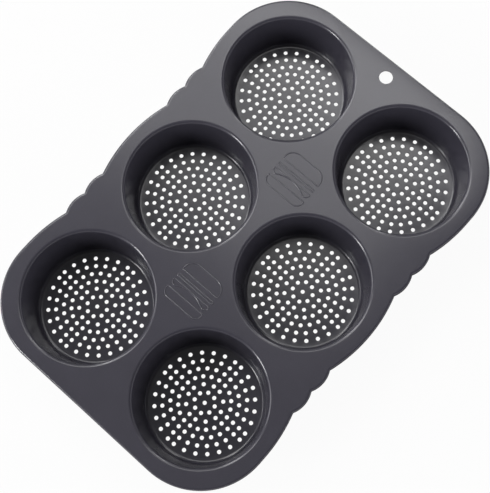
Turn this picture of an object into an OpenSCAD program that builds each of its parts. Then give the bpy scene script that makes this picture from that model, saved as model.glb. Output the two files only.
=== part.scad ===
// Hamburger bun pan: one sheet of steel pressed into a tray with six round cups.
// The sheet has the same thickness all over. Its edge is turned down and scalloped along both
// long sides, each cup has a perforated floor, and one short end has a hole to hang it by.
// The pan stands on the undersides of its cups at z = 0, centred on the origin, +X to the hole.

/* [Sheet] */
// Thickness of the steel with its coating
sheet_t = 0.8; // [0.6:0.1:1.2]
// Outer radius of the bend where the edge turns down
lip_bend_r = 2; // [1.6:0.1:3]
// Height of the turned-down edge, measured from the top of the pan
lip_h = 5; // [4:0.5:8]

/* [Outline] */
// Distance from a cup's centre out to the edge of the pan, at the ends and at the sides
cup_to_edge = 62.4; // [60:0.2:70]
// Radius of the four corners
corner_r = 56; // [44:1:58]
// Radius of the long arc of the edge beside each cup
lobe_r = 121; // [110:1:140]
// Radius of each small scallop between two long arcs
scallop_r = 22; // [20:0.5:26]
// Distance between the two small scallops
scallop_pitch = 20.6; // [18:0.2:23]
// How far the small scallops stay back from the long arcs
scallop_back = 3.1; // [2.5:0.1:4]

/* [Cups] */
// Distance between neighbouring cups along the pan
pitch_x = 112.6; // [110:0.2:124]
// Distance between the two rows of cups
pitch_y = 111.8; // [110:0.2:124]
// Inside radius of a cup at the level of the flange, before its edge is rounded
mouth_r = 49.5; // [46:0.5:51]
// Inside radius of a cup at its floor, before the corner is rounded
floor_r = 45.3; // [44:0.1:48]
// Depth of a cup from the flange to its floor
cup_depth = 40; // [20:1:50]
// Radius of the rounded edge of a cup's mouth
rim_r = 3; // [2:0.1:4]
// Inside radius between a cup's wall and its floor
base_r = 3.5; // [2:0.1:4]

/* [Perforations] */
// Diameter of one perforation
hole_d = 3.2; // [2:0.1:3.4]
// Radius of the innermost ring of perforations
first_ring_r = 8; // [7:0.5:9]
// Distance from one ring of perforations to the next
ring_step = 6; // [5:0.1:6.2]
// Distance of each ring's first perforation from the cup's centre lines
cross_gap = 3; // [2.5:0.1:3.5]

/* [Hanging hole] */
// Diameter of the hole that the pan hangs by
hang_d = 10.5; // [6:0.5:12]
// Distance of the hole's centre from the end of the pan
hang_inset = 13.8; // [12:0.2:16]

/* [Raised figures] */
// Width of the raised line
line_w = 1; // [0.8:0.1:1.2]
// Height of the raised line
line_h = 0.4; // [0.2:0.1:0.6]
// Width of a raised figure, across the pan
figure_w = 35.2; // [30:0.4:38]
// How far a figure's foot lies from the middle between the cups
figure_foot = 18; // [17:0.5:19]
// Height of the figure's lowest layer
foot_layer_h = 8; // [7:0.5:8.5]
// Corner radius of the lowest layer, on its rounded side
foot_layer_r = 6.2; // [4:0.2:6.4]
// Height of the cheese at its ends
cheese_h = 5; // [4.5:0.1:5.5]
// Height of the cheese in its middle
cheese_mid_h = 1.4; // [1.2:0.1:2]
// Width of the hollow in the lower side of the cheese
cheese_hollow_w = 26.4; // [22:0.4:28]
// Corner radius of the cheese, on its hollow side
cheese_r = 3.5; // [2:0.1:4]
// Height of the patty
patty_h = 3; // [2.8:0.1:3.4]
// Height of the figure's highest layer
top_layer_h = 11; // [10.5:0.5:12]
// Corner radius of the highest layer, on its rounded side
top_layer_r = 9; // [5:0.5:9.5]
// Radius of the small corners of every layer
layer_r = 1.4; // [1.3:0.1:1.4]
// Space between the lowest layer, the cheese and the patty
layer_gap = 2; // [1.6:0.1:2.2]
// Space between the patty and the highest layer
top_gap = 3; // [2:0.1:3.4]

/* [Hidden] */

// Fineness of the preview; every circle here is a true circle
$fn = 96;
perforation_fn = 24;
arc_steps = 8;
eps = 0.01;

columns = [-1, 0, 1];
rows = [-0.5, 0.5];
sides = [-1, 1];

half_l = pitch_x + cup_to_edge;
half_w = pitch_y / 2 + cup_to_edge;
corner_x = half_l - corner_r;
corner_y = half_w - corner_r;
lobe_y = half_w - lobe_r;
scallop_y = half_w - scallop_back - scallop_r;
top_z = cup_depth + sheet_t;

// Perforations in one quarter of each ring, from the innermost ring outwards
quarter_counts = [2, 3, 5, 6, 7, 7];

// Slope of a cup's wall, and the centres of the two radii of its section
draft = atan((mouth_r - floor_r) / cup_depth);
function wall_x(z) = mouth_r + z * tan(draft);
rim_x = wall_x(-rim_r) + rim_r / cos(draft);
base_z = base_r - cup_depth;
base_x = wall_x(base_z) - base_r / cos(draft);
// Flat sheet that each pressed cup brings along round its mouth
collar = 2;

function arc(cx, cy, r, from, to) =
    [for (i = [0 : arc_steps]) let (a = from + (to - from) * i / arc_steps)
        [cx + r * cos(a), cy + r * sin(a)]];

// The line that the sheet follows from the flange down to a cup's floor, at a depth inside its
// thickness
function sheet_line(depth) = concat(
    [[rim_x + collar, -depth]],
    arc(rim_x, -rim_r, rim_r - depth, 90, 180 - draft),
    arc(base_x, base_z, base_r + depth, -draft, -90));

function backwards(points) = [for (i = [len(points) - 1 : -1 : 0]) points[i]];

// Half of the section of a flat block whose top edge is rounded
module edge_section(reach, drop, bend) {
    translate([0, -drop]) square([reach, drop - bend]);
    translate([0, -drop]) square([reach - bend, drop]);
    translate([reach - bend, -bend]) circle(r = bend);
}

module disc(radius, drop, bend) {
    rotate_extrude() edge_section(radius, drop, bend);
}

// Bar along Y with both its long top edges rounded
module bar(half, length, drop, bend) {
    rotate([90, 0, 0])
        translate([0, 0, -length / 2])
            linear_extrude(length) {
                edge_section(half, drop, bend);
                mirror([1, 0]) edge_section(half, drop, bend);
            }
}

// Solid block with the outline of the pan, its top at z = 0, smaller all round by inset
module outline_block(inset, drop, bend) {
    bar(half_l - inset, 2 * corner_y, drop, bend);
    translate([-corner_x, -scallop_y, -drop]) cube([2 * corner_x, 2 * scallop_y, drop]);
    for (sx = sides) {
        translate([sx * (pitch_x + corner_x) / 2, 0, 0])
            rotate(90) bar(half_w - inset, corner_x - pitch_x, drop, bend);
        for (sy = sides)
            translate([sx * corner_x, sy * corner_y, 0]) disc(corner_r - inset, drop, bend);
    }
    for (flip = [0, 1]) mirror([0, flip, 0]) {
        for (sx = sides) for (s = sides)
            translate([sx * (pitch_x + s * scallop_pitch) / 2, scallop_y, 0])
                disc(scallop_r - inset, drop, bend);
        long_arc(0, -1, 1, inset, drop, bend);
        long_arc(-1, 0, 1, inset, drop, bend);
        long_arc(1, -1, 0, inset, drop, bend);
    }
}

// Long arc beside one cup, from its crest to the scallops on the given sides
module long_arc(column, from, to, inset, drop, bend) {
    reach = (pitch_x - scallop_pitch) / 2;
    intersection() {
        translate([column * pitch_x, lobe_y, 0]) disc(lobe_r - inset, drop, bend);
        translate([column * pitch_x + from * reach, 0, -drop - eps])
            cube([(to - from) * reach, half_w, drop + 2 * eps]);
    }
}

// Flange of the pan with its turned-down edge and without its cups
module flange() {
    difference() {
        outline_block(0, lip_h, lip_bend_r);
        translate([0, 0, -sheet_t]) outline_block(sheet_t, lip_h, lip_bend_r - sheet_t);
    }
}

module at_cups() {
    for (i = columns) for (j = rows)
        translate([i * pitch_x, j * pitch_y, 0]) children();
}

// All the perforations of one floor, in plan
module perforations() {
    circle(d = hole_d, $fn = perforation_fn);
    for (k = [0 : len(quarter_counts) - 1]) {
        ring_r = first_ring_r + k * ring_step;
        first = asin(cross_gap / ring_r);
        step = (90 - 2 * first) / (quarter_counts[k] - 1);
        for (quarter = [0 : 3]) for (i = [0 : quarter_counts[k] - 1])
            rotate(90 * quarter + first + i * step) translate([ring_r, 0])
                circle(d = hole_d, $fn = perforation_fn);
    }
}

// Sheet of one cup: rounded mouth, sloping wall, rounded corner and perforated floor
module cup() {
    rotate_extrude() polygon(concat(sheet_line(0), backwards(sheet_line(sheet_t))));
    translate([0, 0, -cup_depth - sheet_t]) linear_extrude(sheet_t) difference() {
        circle(r = base_x);
        perforations();
    }
}

// Quarter of a disc, on the sides of its centre that along and across point to
module quarter_disc(radius, along, across) {
    intersection() {
        circle(r = radius);
        translate([min(0, along * radius), min(0, across * radius)]) square(radius);
    }
}

// Layer of a figure that starts at low along X, with rounded corners, smaller all round by inset
module layer(low, height, low_r, high_r, inset) {
    half = figure_w / 2;
    high = low + height;
    translate([low + inset, low_r - half]) square([low_r - inset, 2 * (half - low_r)]);
    translate([low + low_r, inset - half]) square([height - low_r - high_r, 2 * (half - inset)]);
    translate([high - high_r, high_r - half]) square([high_r - inset, 2 * (half - high_r)]);
    for (s = sides) {
        translate([low + low_r, s * (half - low_r)]) quarter_disc(low_r - inset, -1, s);
        translate([high - high_r, s * (half - high_r)]) quarter_disc(high_r - inset, 1, s);
    }
}

// Slice of cheese that hangs down at both ends
module cheese(low, inset) {
    sag = cheese_h - cheese_mid_h;
    hollow_r = (pow(cheese_hollow_w / 2, 2) + pow(sag, 2)) / (2 * sag);
    difference() {
        layer(low, cheese_h, cheese_r, layer_r, inset);
        translate([low + sag - hollow_r, 0]) circle(r = hollow_r + inset);
    }
}

// One raised figure: four layers of a burger, stacked along X
module figure(inset) {
    cheese_x = foot_layer_h + layer_gap - figure_foot;
    patty_x = cheese_x + cheese_h + layer_gap;
    layer(-figure_foot, foot_layer_h, foot_layer_r, layer_r, inset);
    cheese(cheese_x, inset);
    layer(patty_x, patty_h, layer_r, layer_r, inset);
    layer(patty_x + patty_h + top_gap, top_layer_h, layer_r, top_layer_r, inset);
}

// Band of a figure's lines that is inset by margin on both sides
module figure_line(margin) {
    difference() {
        figure(margin);
        figure(line_w - margin);
    }
}

module at_figures() {
    for (sx = sides) translate([sx * pitch_x / 2, 0, 0]) children();
}

module pan() {
    color([0.26, 0.26, 0.28]) translate([0, 0, top_z]) difference() {
        union() {
            difference() {
                flange();
                at_cups() translate([0, 0, -lip_h]) cylinder(h = 2 * lip_h, r = rim_x + collar / 2);
            }
            at_cups() cup();
            at_figures() translate([0, 0, -sheet_t / 2])
                linear_extrude(sheet_t / 2 + line_h) figure_line(0);
        }
        at_figures() translate([0, 0, -2 * sheet_t])
            linear_extrude(sheet_t + line_h) figure_line(line_w / 4);
        translate([half_l - hang_inset, 0, -2 * sheet_t]) cylinder(h = 3 * sheet_t, d = hang_d);
    }
}

pan();
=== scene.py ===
import math

import bmesh
import bpy
from mathutils import Matrix, Vector


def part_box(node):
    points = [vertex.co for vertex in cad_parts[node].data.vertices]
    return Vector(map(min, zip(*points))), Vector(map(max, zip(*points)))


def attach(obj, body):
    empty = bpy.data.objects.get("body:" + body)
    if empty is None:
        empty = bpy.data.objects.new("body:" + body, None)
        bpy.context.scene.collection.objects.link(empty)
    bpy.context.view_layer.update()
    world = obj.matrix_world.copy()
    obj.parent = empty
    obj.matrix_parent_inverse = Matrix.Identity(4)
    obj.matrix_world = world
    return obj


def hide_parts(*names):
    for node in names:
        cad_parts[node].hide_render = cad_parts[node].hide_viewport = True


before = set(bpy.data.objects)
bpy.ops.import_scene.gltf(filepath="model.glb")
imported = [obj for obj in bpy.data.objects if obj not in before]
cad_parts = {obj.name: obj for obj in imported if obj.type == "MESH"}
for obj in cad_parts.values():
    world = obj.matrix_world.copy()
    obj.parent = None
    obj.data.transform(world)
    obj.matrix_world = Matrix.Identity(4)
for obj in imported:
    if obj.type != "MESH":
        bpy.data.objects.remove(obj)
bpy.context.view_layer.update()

# The cups. Six of them are drawn out of one flat sheet of steel by a press. Each has a rounded
# mouth, a wall that leans in so that what is baked drops out, a rounded corner and a flat floor,
# which is perforated with rings of small punched holes that let the heat in and the steam out.
MM = 0.001
SHEET = 0.8 * MM
LINE_H = 0.4 * MM
PAN_LOW, PAN_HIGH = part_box("pan")
HALF_L = PAN_HIGH.x
HALF_W = PAN_HIGH.y
FLANGE_Z = PAN_HIGH.z - LINE_H

CUP_TO_EDGE = 62.4 * MM
PITCH_X = HALF_L - CUP_TO_EDGE
PITCH_Y = 2 * (HALF_W - CUP_TO_EDGE)
CUP_DEPTH = FLANGE_Z - SHEET
FLOOR_Z = FLANGE_Z - CUP_DEPTH
MOUTH_R = 49.5 * MM
FLOOR_R = 45.3 * MM
RIM_R = 3 * MM
BASE_R = 3.5 * MM
DRAFT = math.atan((MOUTH_R - FLOOR_R) / CUP_DEPTH)
CUP_SIDES = 96
RIM_STEPS = 6
BASE_STEPS = 6
SAME_PLACE = 0.02 * MM

HOLE_R = 1.6 * MM
HOLE_SIDES = 16
FIRST_RING_R = 8 * MM
RING_STEP = 6 * MM
CROSS_GAP = 3 * MM
QUARTER_COUNTS = (2, 3, 5, 6, 7, 7)


def arc(centre, radius, start, end, steps):
    """Points of an arc from one angle to another, in degrees."""
    angles = (math.radians(start + (end - start) * i / steps) for i in range(steps + 1))
    return [(centre[0] + radius * math.cos(a), centre[1] + radius * math.sin(a)) for a in angles]


def near(a, b):
    return abs(a - b) < SAME_PLACE


def pick(kind, wanted):
    """Selects the vertices, edges or faces of the mesh in edit mode that pass a test."""
    bpy.ops.mesh.select_all(action="DESELECT")
    shape = bmesh.from_edit_mesh(bpy.context.object.data)
    bpy.ops.mesh.select_mode(type={"verts": "VERT", "edges": "EDGE", "faces": "FACE"}[kind])
    for item in getattr(shape, kind):
        if wanted(item):
            item.select_set(True)
    bmesh.update_edit_mesh(bpy.context.object.data)


def at_height(edge, z):
    return all(near(v.co.z, z) for v in edge.verts)


def cup_profile():
    """Radius and height of the cup's upper face, from the flange down to the edge of the floor."""
    slope = math.tan(DRAFT)
    rim_x = MOUTH_R - RIM_R * slope + RIM_R / math.cos(DRAFT)
    base_z = BASE_R - CUP_DEPTH
    base_x = MOUTH_R + base_z * slope - BASE_R / math.cos(DRAFT)
    lean = math.degrees(DRAFT)
    rim = arc((rim_x, -RIM_R), RIM_R, 90, 180 - lean, RIM_STEPS)
    base = arc((base_x, base_z), BASE_R, -lean, -90, BASE_STEPS)
    return rim + base


def perforation_places():
    places = [(0, 0)]
    for ring, count in enumerate(QUARTER_COUNTS):
        radius = FIRST_RING_R + ring * RING_STEP
        first = math.asin(CROSS_GAP / radius)
        step = (math.pi / 2 - 2 * first) / (count - 1)
        for quarter in range(4):
            for i in range(count):
                angle = quarter * math.pi / 2 + first + i * step
                places.append((radius * math.cos(angle), radius * math.sin(angle)))
    return places


def draw_cup():
    """One cup as a surface, open at the top, with its perforated floor."""
    profile = cup_profile()
    radius, z = profile[0]
    bpy.ops.object.select_all(action="DESELECT")
    bpy.ops.mesh.primitive_circle_add(vertices=CUP_SIDES, radius=radius, location=(0, 0, FLANGE_Z))
    cup = bpy.context.object
    bpy.ops.object.transform_apply(location=True, rotation=True, scale=True)
    bpy.ops.object.mode_set(mode="EDIT")
    bpy.ops.mesh.select_all(action="SELECT")
    for next_radius, next_z in profile[1:]:
        bpy.ops.mesh.extrude_region_move(TRANSFORM_OT_translate={"value": (0, 0, next_z - z)})
        share = next_radius / radius
        bpy.ops.transform.resize(value=(share, share, 1), center_override=(0, 0, 0))
        radius, z = next_radius, next_z
    for x, y in perforation_places():
        bpy.ops.mesh.primitive_circle_add(
            vertices=HOLE_SIDES, radius=HOLE_R, location=(x, y, FLOOR_Z))
    pick("edges", lambda e: at_height(e, FLOOR_Z))
    bpy.ops.mesh.fill(use_beauty=True)
    bpy.ops.object.mode_set(mode="OBJECT")
    return cup


def set_cups(cup):
    """Copies the cup to its six places and returns the copies."""
    cups = []
    for column in (-1, 0, 1):
        for row in (-0.5, 0.5):
            copy = cup.copy()
            copy.data = cup.data.copy()
            bpy.context.collection.objects.link(copy)
            copy.data.transform(Matrix.Translation((column * PITCH_X, row * PITCH_Y, 0)))
            cups.append(copy)
    bpy.data.objects.remove(cup)
    return cups


# The flange and its edge. The flat top of the pan runs out to an edge that is turned down all
# round, and scalloped along both long sides. One end has a hole to hang the pan by.
LIP_H = 5 * MM
LIP_BEND_R = 2 * MM
BEND_STEPS = 5
CORNER_R = 56 * MM
LOBE_R = 121 * MM
SCALLOP_R = 22 * MM
SCALLOP_PITCH = 20.6 * MM
SCALLOP_BACK = 3.1 * MM
CORNER_SIDES = 28
LOBE_SIDES = 14
SCALLOP_SIDES = 10

HANG_R = 5.25 * MM
HANG_INSET = 13.8 * MM
HANG_SIDES = 48


def meeting_angles(centre_a, radius_a, centre_b, radius_b):
    """Angles on two circles, in degrees, of the crossing point that lies further out along Y."""
    a, b = Vector(centre_a), Vector(centre_b)
    span = b - a
    along = (radius_a ** 2 - radius_b ** 2 + span.length_squared) / (2 * span.length)
    across = math.sqrt(radius_a ** 2 - along ** 2)
    way = span.normalized()
    side = Vector((-way.y, way.x))
    points = (a + way * along + side * across, a + way * along - side * across)
    point = max(points, key=lambda p: p.y)
    return tuple(math.degrees(math.atan2(point.y - c[1], point.x - c[0])) for c in (a, b))


def quarter_outline():
    """The edge of the pan from the middle of the +X end to the middle of the +Y side."""
    corner = (HALF_L - CORNER_R, HALF_W - CORNER_R)
    end_lobe = (PITCH_X, HALF_W - LOBE_R)
    middle_lobe = (0, HALF_W - LOBE_R)
    scallop_y = HALF_W - SCALLOP_BACK - SCALLOP_R
    scallops = [((PITCH_X + s * SCALLOP_PITCH) / 2, scallop_y) for s in (1, -1)]
    lobe_stop, first_start = meeting_angles(end_lobe, LOBE_R, scallops[0], SCALLOP_R)
    first_stop, second_start = meeting_angles(scallops[0], SCALLOP_R, scallops[1], SCALLOP_R)
    second_stop, lobe_start = meeting_angles(scallops[1], SCALLOP_R, middle_lobe, LOBE_R)
    return (arc(corner, CORNER_R, 0, 90, CORNER_SIDES)
            + arc(end_lobe, LOBE_R, 90, lobe_stop, LOBE_SIDES)
            + arc(scallops[0], SCALLOP_R, first_start, first_stop, SCALLOP_SIDES)[1:]
            + arc(scallops[1], SCALLOP_R, second_start, second_stop, SCALLOP_SIDES)[1:]
            + arc(middle_lobe, LOBE_R, lobe_start, 90, LOBE_SIDES)[1:])


def whole_outline():
    quarter = quarter_outline()
    left = [(-x, y) for x, y in reversed(quarter[:-1])]
    half = quarter + left
    return half + [(x, -y) for x, y in reversed(half)]


def add_loop(points, z):
    """Adds a closed line of edges to the mesh in edit mode, and selects it alone."""
    bpy.ops.mesh.select_all(action="DESELECT")
    shape = bmesh.from_edit_mesh(bpy.context.object.data)
    corners = [shape.verts.new((x, y, z)) for x, y in points]
    for start, end in zip(corners, corners[1:] + corners[:1]):
        shape.edges.new((start, end)).select_set(True)
    bmesh.update_edit_mesh(bpy.context.object.data)


def draw_flange():
    """The turned-down edge and its bend as a surface, and the rim of the hanging hole.

    The flat top, the one face with more than four corners, is taken out again. It is filled in
    once everything that opens or marks it is there.
    """
    bpy.ops.object.select_all(action="DESELECT")
    bpy.ops.object.add(type="MESH", location=(0, 0, 0))
    flange = bpy.context.object
    bpy.ops.object.mode_set(mode="EDIT")
    bpy.ops.mesh.select_mode(type="EDGE")
    add_loop(whole_outline(), FLANGE_Z)
    bpy.ops.mesh.edge_face_add()
    bpy.ops.mesh.extrude_edges_move(TRANSFORM_OT_translate={"value": (0, 0, -LIP_H)})
    pick("edges", lambda e: at_height(e, FLANGE_Z))
    bpy.ops.mesh.bevel(offset=LIP_BEND_R, segments=BEND_STEPS, profile=0.5, clamp_overlap=False)
    pick("faces", lambda f: len(f.verts) > 4)
    bpy.ops.mesh.delete(type="ONLY_FACE")
    bpy.ops.mesh.primitive_circle_add(
        vertices=HANG_SIDES, radius=HANG_R, location=(HALF_L - HANG_INSET, 0, FLANGE_Z))
    bpy.ops.object.mode_set(mode="OBJECT")
    return flange


# The raised figures. Between the cups the sheet is pressed up in thin rounded lines, which draw
# two plain burgers lying on their side: four layers each, one of them a sagging slice of cheese.
# A line rises in steps, each given by its width and its height in millimetres.
LINE_W = 1 * MM
FIGURE_HALF = 17.6 * MM
FIGURE_FOOT = -18 * MM
FOOT_LAYER_H = 8 * MM
FOOT_LAYER_R = 6.2 * MM
CHEESE_H = 5 * MM
CHEESE_MID_H = 1.4 * MM
CHEESE_HOLLOW_HALF = 13.2 * MM
CHEESE_R = 3.5 * MM
PATTY_H = 3 * MM
TOP_LAYER_H = 11 * MM
TOP_LAYER_R = 9 * MM
LAYER_R = 1.4 * MM
LAYER_GAP = 2 * MM
TOP_GAP = 3 * MM
ROUND_STEPS = 6
LINE_MARK = "raised_line"
RIDGE_STEPS = ((0.08, 0.14), (0.12, 0.12), (0.12, 0.08), (0.08, 0.04), (0.07, 0.02))


def layer_loop(low, height, low_r, high_r, inset):
    """Outline of one layer, with rounded corners, smaller all round by inset."""
    high = low + height
    far = FIGURE_HALF
    corners = (((high - high_r, high_r - far), high_r, -90),
               ((high - high_r, far - high_r), high_r, 0),
               ((low + low_r, far - low_r), low_r, 90),
               ((low + low_r, low_r - far), low_r, 180))
    loop = []
    for centre, radius, start in corners:
        loop += arc(centre, radius - inset, start, start + 90, ROUND_STEPS)
    return loop


def hollow(low, inset):
    """Centre and radius of the circle that hollows out one side of the cheese."""
    sag = CHEESE_H - CHEESE_MID_H
    radius = (CHEESE_HOLLOW_HALF ** 2 + sag ** 2) / (2 * sag)
    return (low + sag - radius, 0), radius + inset


def crossing(centre, radius, x):
    """Angle on a circle, in degrees, where it crosses a line across the figure at x."""
    return math.degrees(math.acos((x - centre[0]) / radius))


def cheese_loop(low):
    """Outline of the slice of cheese, with its two ends and its hollow side."""
    centre, radius = hollow(low, 0)
    reach = crossing(centre, radius, low)
    far = FIGURE_HALF
    high = low + CHEESE_H
    loop = arc((high - LAYER_R, LAYER_R - far), LAYER_R, -90, 0, ROUND_STEPS)
    loop += arc((high - LAYER_R, far - LAYER_R), LAYER_R, 0, 90, ROUND_STEPS)
    loop += arc((low + CHEESE_R, far - CHEESE_R), CHEESE_R, 90, 180, ROUND_STEPS)
    loop += arc(centre, radius, reach, -reach, 4 * ROUND_STEPS)
    loop += arc((low + CHEESE_R, CHEESE_R - far), CHEESE_R, 180, 270, ROUND_STEPS)
    return loop


def cheese_end_loops(low):
    """The two areas inside the cheese's line, one at each end."""
    centre, radius = hollow(low, LINE_W)
    high = low + CHEESE_H - LINE_W
    outer = crossing(centre, radius, low + LINE_W)
    inner = crossing(centre, radius, high)
    far = FIGURE_HALF
    small_r = LAYER_R - LINE_W
    upper = arc((high - small_r, far - LAYER_R), small_r, 0, 90, ROUND_STEPS)
    upper += arc((low + CHEESE_R, far - CHEESE_R), CHEESE_R - LINE_W, 90, 180, ROUND_STEPS)
    upper += arc(centre, radius, outer, inner, 2 * ROUND_STEPS)
    return [upper, [(x, -y) for x, y in reversed(upper)]]


def figure_layers():
    """Outer loop and inner loops of the line round each layer."""
    cheese_x = FIGURE_FOOT + FOOT_LAYER_H + LAYER_GAP
    patty_x = cheese_x + CHEESE_H + LAYER_GAP
    top_x = patty_x + PATTY_H + TOP_GAP
    slabs = ((FIGURE_FOOT, FOOT_LAYER_H, FOOT_LAYER_R, LAYER_R),
             (patty_x, PATTY_H, LAYER_R, LAYER_R),
             (top_x, TOP_LAYER_H, LAYER_R, TOP_LAYER_R))
    layers = [(layer_loop(*slab, 0), [layer_loop(*slab, LINE_W)]) for slab in slabs]
    return layers + [(cheese_loop(cheese_x), cheese_end_loops(cheese_x))]


def line_mark():
    """The layer of the mesh in edit mode that marks the faces of the raised lines."""
    return bmesh.from_edit_mesh(bpy.context.object.data).faces.layers.int[LINE_MARK]


def draw_figures(flange):
    """Marks out the bands that become raised lines, and fills the plain areas inside them."""
    flange.data.attributes.new(LINE_MARK, "INT", "FACE")
    bpy.context.view_layer.objects.active = flange
    bpy.ops.object.mode_set(mode="EDIT")
    for side in (-0.5, 0.5):
        for outer, inner_loops in figure_layers():
            for loop in [outer] + inner_loops:
                add_loop([(x + side * PITCH_X, y) for x, y in loop], FLANGE_Z)
                if loop is not outer:
                    bpy.ops.mesh.edge_face_add()
            fill_band(side * PITCH_X)
    bpy.ops.object.mode_set(mode="OBJECT")


def fill_band(middle_x):
    """Fills the band between the loops that were added last and marks its faces as a line."""
    mark = line_mark()

    def is_new(edge):
        place = edge.verts[0].co
        return (at_height(edge, FLANGE_Z) and len(edge.link_faces) < 2
                and abs(place.y) < FIGURE_HALF + SHEET
                and abs(place.x - middle_x) < 2 * FIGURE_HALF
                and not any(face[mark] for face in edge.link_faces))

    pick("edges", is_new)
    shape = bmesh.from_edit_mesh(bpy.context.object.data)
    before = len(shape.faces)
    bpy.ops.mesh.fill(use_beauty=True)
    shape.faces.ensure_lookup_table()
    for face in shape.faces[before:]:
        face[mark] = 1
    bmesh.update_edit_mesh(bpy.context.object.data)


def press_figures(pan):
    """Presses the marked bands up from below, on both faces of the sheet."""
    bpy.ops.object.mode_set(mode="EDIT")
    mark = line_mark()
    for way in (1, -1):
        pick("faces", lambda f: f[mark] and f.normal.z * way > 0.5)
        for width, rise in RIDGE_STEPS:
            bpy.ops.mesh.inset(thickness=width * MM, depth=way * rise * MM, use_even_offset=True)
    bpy.ops.object.mode_set(mode="OBJECT")
    pan.data.attributes.remove(pan.data.attributes[LINE_MARK])


# The pressed sheet. Flange, cups and figures are one sheet of steel of the same thickness all
# over. Its cut edges, round the holes and along the rim, are slightly broken.
EDGE_BREAK = 0.12 * MM
SHARP = math.radians(50)
MERGE = 0.01 * MM


def close_flange(flange, cups):
    """Joins the cups to the flange and fills the flat sheet between all the openings."""
    bpy.ops.object.select_all(action="DESELECT")
    for piece in cups + [flange]:
        piece.select_set(True)
    bpy.context.view_layer.objects.active = flange
    bpy.ops.object.join()
    bpy.ops.object.mode_set(mode="EDIT")
    pick("edges", lambda e: at_height(e, FLANGE_Z) and len(e.link_faces) < 2)
    bpy.ops.mesh.fill(use_beauty=True)
    bpy.ops.mesh.select_all(action="SELECT")
    bpy.ops.mesh.remove_doubles(threshold=MERGE)
    bpy.ops.mesh.normals_make_consistent(inside=False)
    shape = bmesh.from_edit_mesh(flange.data)
    flat = [f for f in shape.faces if near(f.calc_center_median().z, FLANGE_Z)]
    top = max(flat, key=lambda f: f.calc_area())
    if top.normal.z < 0:
        bpy.ops.mesh.flip_normals()
    bpy.ops.object.mode_set(mode="OBJECT")


def finish_with(piece, kind, **settings):
    """Adds a modifier with its settings and applies it."""
    bpy.context.view_layer.objects.active = piece
    modifier = piece.modifiers.new(kind.title(), kind)
    for name, value in settings.items():
        setattr(modifier, name, value)
    bpy.ops.object.modifier_apply(modifier=modifier.name)


pan = draw_flange()
draw_figures(pan)
close_flange(pan, set_cups(draw_cup()))
finish_with(pan, "SOLIDIFY", thickness=SHEET, offset=-1, use_even_offset=True)
finish_with(pan, "BEVEL", width=EDGE_BREAK, segments=1, limit_method="ANGLE", angle_limit=SHARP)
press_figures(pan)
pan.name = "pressed_pan"
bpy.ops.object.select_all(action="DESELECT")
pan.select_set(True)
bpy.context.view_layer.objects.active = pan
bpy.ops.object.shade_smooth_by_angle(angle=SHARP)
finish_with(pan, "WEIGHTED_NORMAL", mode="FACE_AREA", weight=50, keep_sharp=True)


# The coating. Both faces are sprayed and baked with a satin dark grey non-stick coating. It is
# fine grained, with tiny lighter flecks, and a little smoother in some places than in others.
COATING = (0.0405, 0.0385, 0.0515, 1)
COATING_PALE = (0.0550, 0.0520, 0.0700, 1)
FLECK = (0.13, 0.13, 0.15, 1)
CLOUD_SCALE = 60.0
CLOUD_SHARE = 0.6
GRAIN_SCALE = 1400.0
GRAIN_HEIGHT = 0.05 * MM
FLECK_SCALE = 2600.0
FLECK_SHARE = 0.5
FLECK_START, FLECK_FULL = 0.68, 0.76
BASE_ROUGHNESS = 0.36
GLOSS_ROUGHNESS = 0.2
GLOSS_IOR = 1.6


class Socket:
    """A node's output, on which sums build Math nodes."""

    def __init__(self, tree, socket=None):
        self.tree = tree
        self.socket = socket

    def node(self, kind, settings, inputs, output=0):
        """Makes a node, sets it, fills its inputs with values or links, and gives one output."""
        made = self.tree.nodes.new(kind)
        for name, value in settings.items():
            if name == "stops":
                self.set_stops(made.color_ramp, value)
            else:
                setattr(made, name, value)
        for name, value in inputs.items():
            if isinstance(value, Socket):
                self.tree.links.new(value.socket, made.inputs[name])
            else:
                made.inputs[name].default_value = value
        return Socket(self.tree, made.outputs[output]) if made.outputs else None

    @staticmethod
    def set_stops(ramp, stops):
        while len(ramp.elements) < len(stops):
            ramp.elements.new(1)
        for element, (place, colour) in zip(ramp.elements, stops):
            element.position = place
            element.color = colour

    def math(self, operation, other):
        return self.node("ShaderNodeMath", {"operation": operation}, {0: self, 1: other})

    def __add__(self, other):
        return self.math("ADD", other)

    def __mul__(self, other):
        return self.math("MULTIPLY", other)

    __radd__ = __add__
    __rmul__ = __mul__


def new_material(name):
    material = bpy.data.materials.new(name)
    material.use_nodes = True
    material.node_tree.nodes.clear()
    return material, Socket(material.node_tree)


def noise(tree, place, scale, detail):
    return tree.node("ShaderNodeTexNoise", {}, {"Vector": place, "Scale": scale, "Detail": detail})


def mix_colour(tree, share, first, second):
    return tree.node("ShaderNodeMix", {"data_type": "RGBA"}, {0: share, 6: first, 7: second}, 2)


def ramp(tree, value, stops):
    return tree.node("ShaderNodeValToRGB", {"stops": stops}, {"Fac": value})


def grey(level):
    return (level, level, level, 1)


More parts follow.
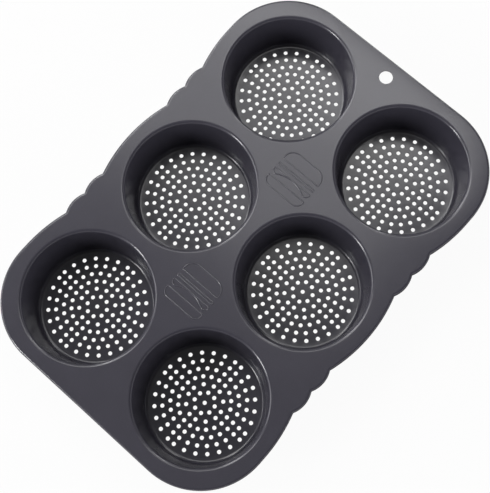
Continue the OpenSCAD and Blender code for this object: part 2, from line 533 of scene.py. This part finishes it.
def coating_material():
    material, tree = new_material("non_stick_coating")
    place = tree.node("ShaderNodeTexCoord", {}, {}, "Object")
    cloud = noise(tree, place, CLOUD_SCALE, 3.0)
    grain = noise(tree, place, GRAIN_SCALE, 2.0)
    speckle = noise(tree, place, FLECK_SCALE, 1.0)
    flecks = ramp(tree, speckle, ((FLECK_START, grey(0)), (FLECK_FULL, grey(1))))
    pale = cloud * CLOUD_SHARE + grain * (1 - CLOUD_SHARE)
    colour = mix_colour(tree, pale, COATING, COATING_PALE)
    colour = mix_colour(tree, flecks * FLECK_SHARE, colour, FLECK)
    height = grain * 0.5 + cloud * 0.5
    bump = tree.node(
        "ShaderNodeBump", {}, {"Strength": 0.12, "Distance": GRAIN_HEIGHT, "Height": height})
    surface = tree.node("ShaderNodeBsdfPrincipled", {}, {
        "Base Color": colour,
        "Roughness": BASE_ROUGHNESS + cloud * 0.06 + grain * 0.04,
        "Normal": bump,
        "Specular IOR Level": 0.2,
        "Coat Weight": 1.0,
        "Coat Roughness": GLOSS_ROUGHNESS,
        "Coat IOR": GLOSS_IOR,
    })
    tree.node("ShaderNodeOutputMaterial", {}, {"Surface": surface})
    return material


pan.data.materials.clear()
pan.data.materials.append(coating_material())
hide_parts("pan")
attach(pan, "root")


# The stage. A plain white floor, which keeps the soft shadow of the pan, and a surround that
# looks white. The surround lights the pan only dimly, a little more from straight overhead.
FLOOR_HALF = 6.0
FLOOR_GAP = 0.05 * MM
SHADOW_SHARE = 0.05
UNDER_PAN = 0.2
CLEAR_OF_PAN = 0.3
FLOOR_GREY = 0.8
HORIZON_TOP, HORIZON_END = 0.1, 0.35
OVERHEAD_START, OVERHEAD_FULL = 0.92, 0.96
DIM, PALE = 0.05, 0.20


def mirrored_rays(tree):
    """1 for rays that show the stage mirrored in a surface or through glass."""
    glossy = tree.node("ShaderNodeLightPath", {}, {}, "Is Glossy Ray")
    return glossy + Socket(tree.tree, glossy.socket.node.outputs["Is Transmission Ray"])


def floor_material():
    """White in view. Mirrored rays find it white too, but under the pan they find it painted
    black, a painted shade in place of the pan's own.

    A view from below goes through it, and shows the underside of the pan.
    """
    material, tree = new_material("white_floor")
    place = tree.node("ShaderNodeTexCoord", {}, {}, "Object")
    reach = tree.node("ShaderNodeVectorMath", {"operation": "LENGTH"}, {0: place}, "Value")
    # Painted shade: mirrored rays see a black floor under the pan, fading to white beyond it.
    outside_painted_shade = ramp(tree, reach, ((UNDER_PAN, grey(0)), (CLEAR_OF_PAN, grey(1))))
    camera = tree.node("ShaderNodeLightPath", {}, {}, "Is Camera Ray")
    mirrored = mirrored_rays(tree)
    pale = tree.node("ShaderNodeBsdfDiffuse", {}, {"Color": grey(FLOOR_GREY)})
    white = tree.node("ShaderNodeEmission", {}, {"Color": outside_painted_shade, "Strength": 1.0})
    seen = tree.node("ShaderNodeEmission", {}, {"Color": grey(1), "Strength": 1.0})
    surface = tree.node("ShaderNodeMixShader", {}, {0: mirrored, 1: pale, 2: white})
    white_share = camera * (1 - SHADOW_SHARE)
    surface = tree.node("ShaderNodeMixShader", {}, {0: white_share, 1: surface, 2: seen})
    below = tree.node("ShaderNodeNewGeometry", {}, {}, "Backfacing")
    clear = tree.node("ShaderNodeBsdfTransparent", {}, {})
    surface = tree.node("ShaderNodeMixShader", {}, {0: camera * below, 1: surface, 2: clear})
    tree.node("ShaderNodeOutputMaterial", {}, {"Surface": surface})
    return material


def lay_floor():
    bpy.ops.object.select_all(action="DESELECT")
    bpy.ops.mesh.primitive_plane_add(size=2 * FLOOR_HALF, location=(0, 0, PAN_LOW.z - FLOOR_GAP))
    floor = bpy.context.object
    floor.name = "floor"
    bpy.ops.object.transform_apply(location=True, rotation=True, scale=True)
    floor.data.materials.append(floor_material())


def set_world():
    """White in view and low down in mirrored rays, and otherwise dim, but paler overhead."""
    world = bpy.data.worlds.new("surround")
    world.use_nodes = True
    world.node_tree.nodes.clear()
    bpy.context.scene.world = world
    tree = Socket(world.node_tree)
    way = tree.node("ShaderNodeTexCoord", {}, {}, "Generated")
    height = tree.node("ShaderNodeSeparateXYZ", {}, {"Vector": way}, "Z")
    low = ramp(tree, height, ((HORIZON_TOP, grey(1)), (HORIZON_END, grey(0))))
    overhead = ramp(
        tree, height, ((OVERHEAD_START, grey(DIM)), (OVERHEAD_FULL, grey(PALE))))
    lamp = tree.node("ShaderNodeBackground", {}, {"Color": overhead, "Strength": 1.0})
    white = tree.node("ShaderNodeBackground", {}, {"Color": grey(1), "Strength": 1.0})
    camera = tree.node("ShaderNodeLightPath", {}, {}, "Is Camera Ray")
    share = camera + mirrored_rays(tree) * low
    surface = tree.node("ShaderNodeMixShader", {}, {0: share, 1: lamp, 2: white})
    tree.node("ShaderNodeOutputWorld", {}, {"Surface": surface})


lay_floor()
set_world()


# The lights. Two softboxes hang level beyond the far corner of the pan. The others stand round
# it, most of them low enough to light the flange and leave the cups dark. The two screens light
# the pan softly, and no highlight on the coating shows them.
LAMP_REACH = 2.0
CEILING = 0.84
CEILING_STEP = 0.03


def softbox(name, place, aim, width, height, power):
    bpy.ops.object.light_add(type="AREA", location=place)
    lamp = bpy.context.object
    lamp.name = name
    lamp.data.shape = "RECTANGLE"
    lamp.data.size = width
    lamp.data.size_y = height
    lamp.data.energy = power
    way = Vector(aim) - Vector(place)
    lamp.rotation_euler = way.to_track_quat("-Z", "Y").to_euler()
    return lamp


def standing_softbox(name, turn, rise, width, height, power):
    """A softbox that stands away from the pan, at a direction and a height given in degrees."""
    level = LAMP_REACH * math.cos(math.radians(rise))
    place = (level * math.cos(math.radians(turn)), level * math.sin(math.radians(turn)),
             LAMP_REACH * math.sin(math.radians(rise)))
    return softbox(name, place, (0, 0, PAN_HIGH.z), width, height, power)


def standing_screen(name, **setting):
    screen = standing_softbox(name, **setting)
    screen.visible_glossy = False


softbox("ceiling_softbox", (0.30, 0.40, CEILING), (0.30, 0.40, 0),
        width=0.40, height=0.80, power=1.40)
softbox("end_softbox", (0.45, 0.38, CEILING + CEILING_STEP), (0.45, 0.38, 0),
        width=0.17, height=0.85, power=0.88)
standing_softbox("high_softbox", turn=84, rise=50, width=0.7, height=0.7, power=7.2)
standing_softbox("side_softbox", turn=74, rise=26, width=0.4, height=0.6, power=5.5)
standing_softbox("left_softbox", turn=124, rise=26, width=0.9, height=0.7, power=7.0)
standing_softbox("front_softbox", turn=156, rise=26, width=0.4, height=0.6, power=14.0)
standing_softbox("back_softbox", turn=15, rise=30, width=0.5, height=0.6, power=5.0)
standing_screen("left_screen", turn=138, rise=24, width=1.6, height=0.8, power=10.0)
standing_screen("near_screen", turn=270, rise=16, width=1.6, height=0.7, power=20.0)


# The camera. It looks almost straight down on the pan, from above the corner at -X and -Y.
PHOTO_W = 490
PHOTO_H = 493
FOCAL_PIXELS = 1078.8
SENSOR = 36.0
CAMERA_PLACE = Vector((-120.7, -153.1, 815.0)) * MM
VIEW_RIGHT = Vector((0.66219, -0.74796, -0.04543))
VIEW_FORWARD = Vector((0.14139, 0.18425, -0.97266))


def place_camera():
    bpy.ops.object.camera_add(location=CAMERA_PLACE)
    camera = bpy.context.object
    camera.data.sensor_width = SENSOR
    camera.data.lens = FOCAL_PIXELS / max(PHOTO_W, PHOTO_H) * SENSOR
    back = -VIEW_FORWARD.normalized()
    up = back.cross(VIEW_RIGHT).normalized()
    right = up.cross(back)
    turn = Matrix((right, up, back)).transposed()
    camera.rotation_euler = turn.to_euler()
    bpy.context.scene.camera = camera


place_camera()
bpy.context.scene.view_settings.view_transform = "Standard"
